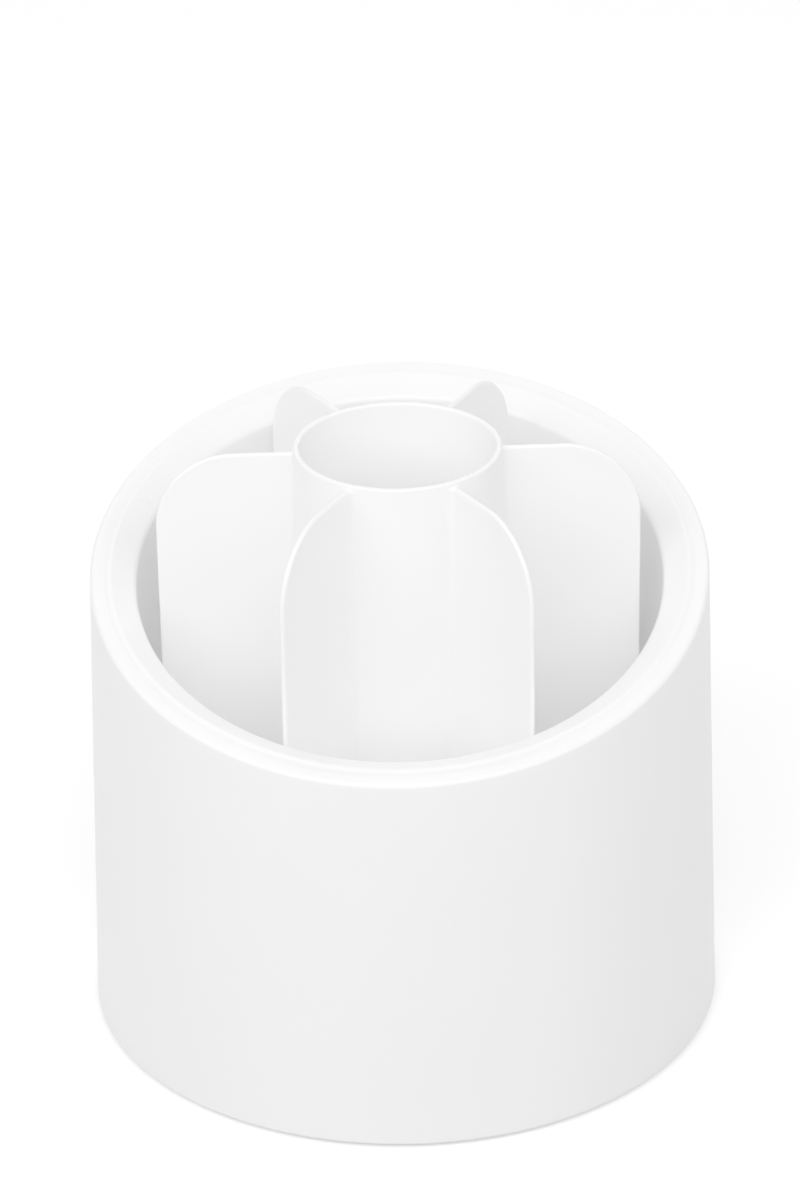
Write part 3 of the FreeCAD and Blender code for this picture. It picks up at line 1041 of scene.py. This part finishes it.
@dataclass
class StarDivider:
    """Centre tube with upright fins, in one moulding. Sizes are in millimetres.

    Attributes:
        workshop: Dresses the piece.
        tube_radius: Outer radius of the tube.
        tube_wall: Thickness of its wall at the top.
        tube_thickening: How much thicker the wall is at the foot.
        edge_round: Rounding of the tube's top edge.
        fin_count: Number of fins.
        fin_reach: Distance from the axis to a fin's outer edge.
        fin_half: Half of a fin's thickness.
        fin_step_down: How far the fins end below the tube's top.
        fin_corner: Radius of a fin's upper corner.
        foot_corner: Radius of a fin's lower corner.
        root_fillet: Fillet between fin and tube.
        turned: Degrees that the loose divider stands round from square.
        tube_steps: Steps round the tube from one fin to the next.
        fillet_steps: Steps round a fillet.
        tip_steps: Steps round a fin's outer edge.
        corner_steps: Steps up a fin's upper corner.
        foot_steps: Steps up a fin's lower corner.
        middle_steps: Steps up between the corners.
        edge_steps: Steps up a fin's rounded top edge.
        edge_clear: Room that the last corner step leaves, as a share of the half thickness.
        side_shares: Places of the points along a fin's side.
    """

    workshop: Workshop
    tube_radius: float = 20.2
    tube_wall: float = 1.2
    tube_thickening: float = 0.4
    edge_round: float = 0.4
    fin_count: int = 6
    fin_reach: float = 47.12
    fin_half: float = 0.55
    fin_step_down: float = 0.8
    fin_corner: float = 15.0
    foot_corner: float = 2.0
    root_fillet: float = 1.2
    turned: float = 3.0
    tube_steps: int = 20
    fillet_steps: int = 6
    tip_steps: int = 12
    corner_steps: int = 26
    foot_steps: int = 6
    middle_steps: int = 6
    edge_steps: int = 7
    edge_clear: float = 1.15
    side_shares: tuple[float, ...] = (0.02, 0.25, 0.5, 0.75, 0.98)

    def __post_init__(self) -> None:
        """Take the heights from the frame."""
        low, high = in_millimetres("divider")
        self.foot = low.z
        self.tube_top = high.z
        self.fin_top = self.tube_top - self.fin_step_down
        self.foot_bore = self.tube_radius - self.tube_wall - self.tube_thickening
        self.corner_out = self.fin_reach - self.fin_corner
        self.corner_up = self.fin_top - self.fin_corner

    def half_at(self, up: float) -> float:
        """Half thickness of a fin at a height; its top edge is a half round."""
        into_edge = max(0.0, up - (self.fin_top - self.fin_half))
        return math.sqrt(max(0.0, self.fin_half ** 2 - into_edge ** 2))

    def reach_at(self, up: float, aside: float) -> float:
        """How far out a fin reaches at a height and a distance from its middle plane.

        Args:
            up: The height.
            aside: Distance from the middle plane.

        Returns:
            The distance from the axis.
        """
        inset = self.fin_half - math.sqrt(max(0.0, self.fin_half ** 2 - aside ** 2))
        if up > self.corner_up:
            corner, away = self.fin_corner, up - self.corner_up
        else:
            corner, away = self.foot_corner, max(0.0, self.foot + self.foot_corner - up)
        depth = math.sqrt(max(0.0, (corner - inset) ** 2 - away ** 2))
        return self.fin_reach - corner + depth

    def half_fin(self, up: float) -> tuple[list[SectionPoint], float]:
        """One side of a fin at a height, from the tube to the middle of its outer edge.

        Args:
            up: The height.

        Returns:
            The points with +Y aside and the angle in radians at which they leave the tube.
        """
        half = self.half_at(up)
        fillet = self.root_fillet * half / self.fin_half
        centre_y = half + fillet
        centre_x = math.sqrt((self.tube_radius + fillet) ** 2 - centre_y ** 2)
        leaving = math.atan2(centre_y, centre_x)
        points = []
        start = leaving - math.pi
        for step in range(self.fillet_steps + 1):
            angle = start + (-math.pi / 2 - start) * step / self.fillet_steps
            points.append((centre_x + fillet * math.cos(angle),
                           centre_y + fillet * math.sin(angle)))
        side_end = self.reach_at(up, half)
        for share in self.side_shares:
            points.append((centre_x + (side_end - centre_x) * share, half))
        for step in range(self.tip_steps // 2 + 1):
            aside = half * math.cos(math.pi * step / self.tip_steps)
            points.append((self.reach_at(up, aside), aside))
        return points, leaving

    def level(self, up: float) -> list[Point]:
        """The whole outline at a height, fins and tube, as one closed row.

        Args:
            up: The height.

        Returns:
            The points of the row.
        """
        side, leaving = self.half_fin(up)
        outline = side[:-1] + [(out, -aside) for out, aside in reversed(side)]
        outline.reverse()
        row = []
        sector = 2 * math.pi / self.fin_count
        for index in range(self.fin_count):
            turn = math.radians(self.turned) + index * sector
            for out, aside in outline:
                row.append((out * math.cos(turn) - aside * math.sin(turn),
                            out * math.sin(turn) + aside * math.cos(turn), up))
            for step in range(1, self.tube_steps):
                angle = turn + leaving + (sector - 2 * leaving) * step / self.tube_steps
                row.append((self.tube_radius * math.cos(angle),
                            self.tube_radius * math.sin(angle), up))
        return row

    def levels(self) -> list[float]:
        """Heights of the rows, close together where the outline bends.

        Returns:
            The heights, upwards.
        """
        quarter = math.pi / 2
        heights = [self.foot + self.foot_corner * (1 - math.cos(quarter * step / self.foot_steps))
                   for step in range(self.foot_steps + 1)]
        low, high = heights[-1], self.corner_up
        heights += [low + (high - low) * step / self.middle_steps
                    for step in range(1, self.middle_steps)]
        for step in range(self.corner_steps + 1):
            up = high + self.fin_corner * math.sin(quarter * step / self.corner_steps)
            if up < self.fin_top - self.edge_clear * self.fin_half:
                heights.append(up)
        heights += [self.fin_top - self.fin_half * (1 - math.sin(quarter * step / self.edge_steps))
                    for step in range(self.edge_steps + 1)]
        return heights

    def tube_row(self, radius: float, up: float) -> list[Point]:
        """A level circle with its points above those of the outline.

        Args:
            radius: Radius of the circle.
            up: Its height.

        Returns:
            The points of the circle.
        """
        count = self.fin_count * self.tube_steps
        row = []
        for index in range(count):
            angle = math.radians(self.turned) + 2 * math.pi * index / count
            row.append((radius * math.cos(angle), radius * math.sin(angle), up))
        return row

    def build(self) -> None:
        """Make and dress the divider."""
        draft = MeshDraft()
        draft.add_grid([self.level(up) for up in self.levels()], wrap_rows=False,
                       wrap_columns=True)
        bore = self.tube_radius - self.tube_wall
        corners = [
            Corner(self.tube_radius, self.fin_top),
            Corner(self.tube_radius, self.tube_top, self.edge_round, steps=5),
            Corner(bore, self.tube_top, self.edge_round, steps=5),
            Corner(self.foot_bore, self.foot),
        ]
        rows = [self.tube_row(out, up) for out, up in soften(corners, closed=False)]
        draft.add_grid(rows, wrap_rows=False, wrap_columns=True)
        piece = draft.to_object("star_divider", cap_height=self.foot)
        self.workshop.dress_new(piece, Slot.DIVIDER, Body.DIVIDER, "divider")


# ---- Turning base ------------------------------------------------------------------------------

@dataclass
class TurningBase:
    """Plates, ball ring, pivot and foot pads, which keep the frame's meshes.

    Attributes:
        workshop: Dresses the pieces.
    """

    workshop: Workshop

    def dress(self) -> None:
        """Give every node of the turning base its finish."""
        finishes = {"rotor_plate": Slot.BASE, "rotor_screws": Slot.SCREW, "base_plate": Slot.BASE,
                    "ball_cage": Slot.CAGE, "pivot_washer": Slot.SCREW, "pivot_screw": Slot.SCREW}
        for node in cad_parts:
            if node.startswith("bearing_ball"):
                finishes[node] = Slot.BALL
            if node.startswith("foot_pad"):
                finishes[node] = Slot.PAD
        for node, slot in finishes.items():
            self.workshop.dress_node(node, slot)


# ---- Studio ------------------------------------------------------------------------------------

@dataclass(frozen=True)
class SoftBox:
    """A soft square lamp.

    Attributes:
        name: Name of the lamp.
        place: Where it hangs, in metres.
        power: Power in watts.
        side: Length of its side in metres.
    """

    name: str
    place: Point
    power: float
    side: float = 1.0

    def hang(self, aim: Vector) -> None:
        """Make the lamp and turn it to a place.

        Args:
            aim: The place, in metres.
        """
        data = bpy.data.lights.new(self.name, "AREA")
        data.shape = "SQUARE"
        data.size = self.side
        data.energy = self.power
        lamp = bpy.data.objects.new(self.name, data)
        lamp.location = self.place
        lamp.rotation_euler = (aim - Vector(self.place)).to_track_quat("-Z", "Y").to_euler()
        bpy.context.scene.collection.objects.link(lamp)
        LOG.info("lamp %s, %.1f W", self.name, self.power)


LAMPS = (
    SoftBox("front", (0.0, -1.39, 0.86), 4.9),
    SoftBox("front_high", (0.0, -0.92, 1.37), 7.2),
    SoftBox("left_front", (-0.93, -0.93, 0.98), 7.4),
    SoftBox("right_front", (0.93, -0.93, 0.98), 4.4),
    SoftBox("left", (-1.45, 0.0, 0.74), 3.1),
    SoftBox("right", (1.45, 0.0, 0.74), 3.3),
    SoftBox("back", (0.0, 1.23, 1.09), 4.5),
)


@dataclass
class Studio:
    """Pale floor, soft light and the camera.

    Attributes:
        elevation: Degrees that the camera looks down.
        azimuth: Degrees that it stands round from -Y towards +X.
        roll: Degrees that the picture is turned.
        aim_height: Height in millimetres of the place that it looks at.
        distance: Distance in millimetres from that place.
        lens: Focal length in millimetres.
        film_height: Height of the film in millimetres.
        sight: Nearest and furthest distance that is seen, in metres.
        floor_side: Length of the floor's side in metres.
        floor_white: How white the floor is where it is seen.
        floor_roughness: Roughness of the floor.
        floor_glow: Light that the seen floor adds of its own round the object.
        floor_near: Distance in metres from the object up to which the lamps light the floor.
        floor_far: Distance in metres from which the seen floor is white by its own light.
        floor_bounce: How white the floor is for the light that it throws on the object.
        world_strength: Light that the white surroundings throw on the object.
        lamp_aim: Height in metres of the place that the lamps are turned to.
        curve: Softness of the picture's tone curve.
        bounces: Times that light may bounce between the white walls.
    """

    elevation: float = 27.08
    azimuth: float = 1.2
    roll: float = -0.974
    aim_height: float = 87.5
    distance: float = 898.4
    lens: float = 138.64
    film_height: float = 36.0
    sight: tuple[float, float] = (0.01, 50.0)
    floor_side: float = 8.0
    floor_white: float = 0.93
    floor_roughness: float = 0.8
    floor_glow: float = 0.28
    floor_near: float = 0.65
    floor_far: float = 1.6
    floor_bounce: float = 0.35
    world_strength: float = 0.22
    lamp_aim: float = 0.06
    curve: float = 1.8
    bounces: int = 16

    def lay_floor(self) -> None:
        """Lay the pale floor, which is seen white and throws back less light than it shows."""
        mesh = bpy.data.meshes.new("studio_floor")
        half = self.floor_side / 2
        mesh.from_pydata([(-half, -half, 0), (half, -half, 0), (half, half, 0), (-half, half, 0)],
                         [], [(0, 1, 2, 3)])
        floor = bpy.data.objects.new("studio_floor", mesh)
        bpy.context.scene.collection.objects.link(floor)
        material, wiring, seen = start_material("pale_floor")
        seen.inputs["Base Color"].default_value = with_alpha((self.floor_white,) * 3)
        seen.inputs["Roughness"].default_value = self.floor_roughness
        seen.inputs["Emission Color"].default_value = with_alpha((1.0, 1.0, 1.0))
        place = wiring.add("ShaderNodeNewGeometry").outputs["Position"]
        away = wiring.add("ShaderNodeVectorMath", {"operation": "LENGTH"})
        wiring.feed(away.inputs[0], place)
        glow = wiring.span(away.outputs["Value"], self.floor_near, self.floor_far,
                           to_low=self.floor_glow)
        wiring.feed(seen.inputs["Emission Strength"], glow)
        bounce = wiring.add("ShaderNodeBsdfDiffuse")
        bounce.inputs["Color"].default_value = with_alpha((self.floor_bounce,) * 3)
        path = wiring.add("ShaderNodeLightPath").outputs
        direct = wiring.maths("MAXIMUM", path["Is Camera Ray"], path["Is Glossy Ray"])
        mixed = wiring.add("ShaderNodeMixShader")
        wiring.feed(mixed.inputs[0], direct)
        wiring.feed(mixed.inputs[1], bounce.outputs["BSDF"])
        wiring.feed(mixed.inputs[2], seen.outputs["BSDF"])
        end = next(node for node in material.node_tree.nodes if node.type == "OUTPUT_MATERIAL")
        wiring.feed(end.inputs["Surface"], mixed.outputs["Shader"])
        mesh.materials.append(material)

    def light(self) -> None:
        """Set the white surroundings and hang the lamps."""
        scene = bpy.context.scene
        world = bpy.data.worlds.new("studio_world")
        world.use_nodes = True
        background = world.node_tree.nodes["Background"]
        background.inputs["Color"].default_value = (1.0, 1.0, 1.0, 1.0)
        wiring = Wiring(world.node_tree)
        direct = wiring.add("ShaderNodeLightPath").outputs["Is Camera Ray"]
        wiring.feed(background.inputs["Strength"],
                    wiring.span(direct, low=0.0, high=1.0, to_low=self.world_strength))
        scene.world = world
        scene.view_settings.view_transform = "Standard"
        scene.view_settings.gamma = self.curve
        scene.cycles.max_bounces = 2 * self.bounces
        scene.cycles.diffuse_bounces = self.bounces
        for lamp in LAMPS:
            lamp.hang(Vector((0.0, 0.0, self.lamp_aim)))

    def set_camera(self) -> None:
        """Stand the camera."""
        rise = math.radians(self.elevation)
        round_to = math.radians(self.azimuth)
        back = Vector((math.sin(round_to) * math.cos(rise), -math.cos(round_to) * math.cos(rise),
                       math.sin(rise)))
        right = Vector((math.cos(round_to), math.sin(round_to), 0.0))
        up = back.cross(right)
        roll = math.radians(self.roll)
        axis_x = right * math.cos(roll) + up * math.sin(roll)
        axis_y = up * math.cos(roll) - right * math.sin(roll)
        data = bpy.data.cameras.new("camera")
        data.sensor_fit = "VERTICAL"
        data.sensor_height = self.film_height
        data.lens = self.lens
        data.clip_start, data.clip_end = self.sight
        camera = bpy.data.objects.new("camera", data)
        place = Vector((0.0, 0.0, self.aim_height)) + back * self.distance
        turned = Matrix((axis_x, axis_y, back)).transposed().to_4x4()
        camera.matrix_world = Matrix.Translation(place * MILLIMETRE) @ turned
        bpy.context.scene.collection.objects.link(camera)
        bpy.context.scene.camera = camera

    def set_up(self) -> None:
        """Set up floor, light and camera."""
        self.lay_floor()
        self.light()
        self.set_camera()


def main() -> None:
    """Build the pot, the divider and the base, and set up the studio."""
    logging.basicConfig(level=logging.INFO, format="%(name)s: %(message)s")
    workshop = Workshop()
    pot = PotBody(workshop)
    divider = StarDivider(workshop)
    pot.build(hub_radius=divider.foot_bore - pot.slip_fit)
    divider.build()
    TurningBase(workshop).dress()
    Studio().set_up()


if __name__ == "__main__":
    main()
